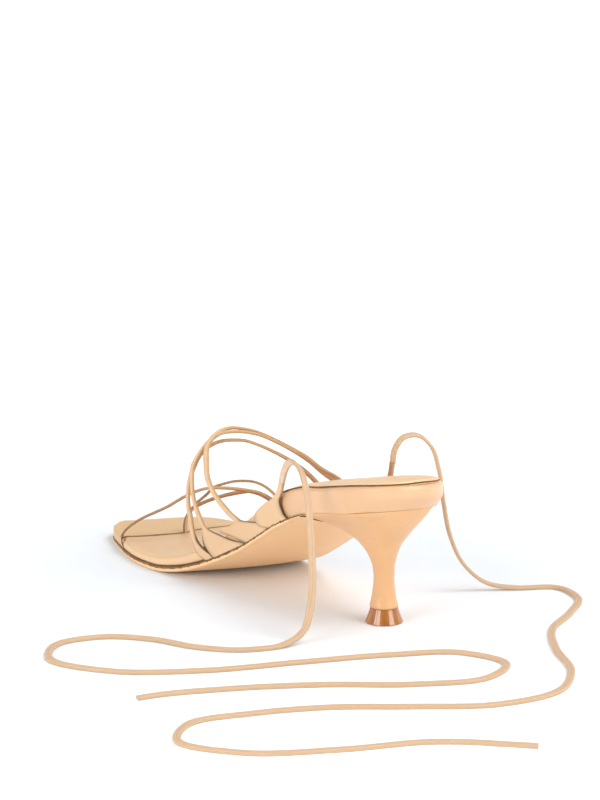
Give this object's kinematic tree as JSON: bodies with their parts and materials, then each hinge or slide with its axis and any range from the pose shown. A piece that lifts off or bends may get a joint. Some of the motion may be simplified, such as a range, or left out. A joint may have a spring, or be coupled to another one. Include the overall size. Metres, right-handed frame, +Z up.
{
  "type": "ankle-tie kitten heel sandal",
  "caption": "Open sandal for a right foot: arched leather footbed on a flared kitten heel, with narrow instep straps, a toe post loop and long loose ankle ties.",
  "frame": {"origin": "centre of the standing shoe's own box, on the floor, measured without the loose ties", "axes": "+Y from heel to toe, +X towards the outer side of the foot, +Z up from the floor"},
  "size_m": [0.2887, 0.3977, 0.0833],
  "materials": {
    "outsole": "satin",
    "footbed": "satin",
    "insole": "satin",
    "heel": "satin",
    "heel_tip": "gloss",
    "instep_straps": "satin",
    "toe_straps": "satin",
    "tie_inner": "satin",
    "tie_outer": "satin"
  },
  "bodies": {
    "root": {"outsole": "outsole", "footbed": "footbed", "insole": "insole", "heel": "heel", "heel_tip": "heel_tip", "instep_straps": "instep_straps", "toe_straps": "toe_straps", "tie_inner": "tie_inner", "tie_outer": "tie_outer"}
  },
  "joints": []
}
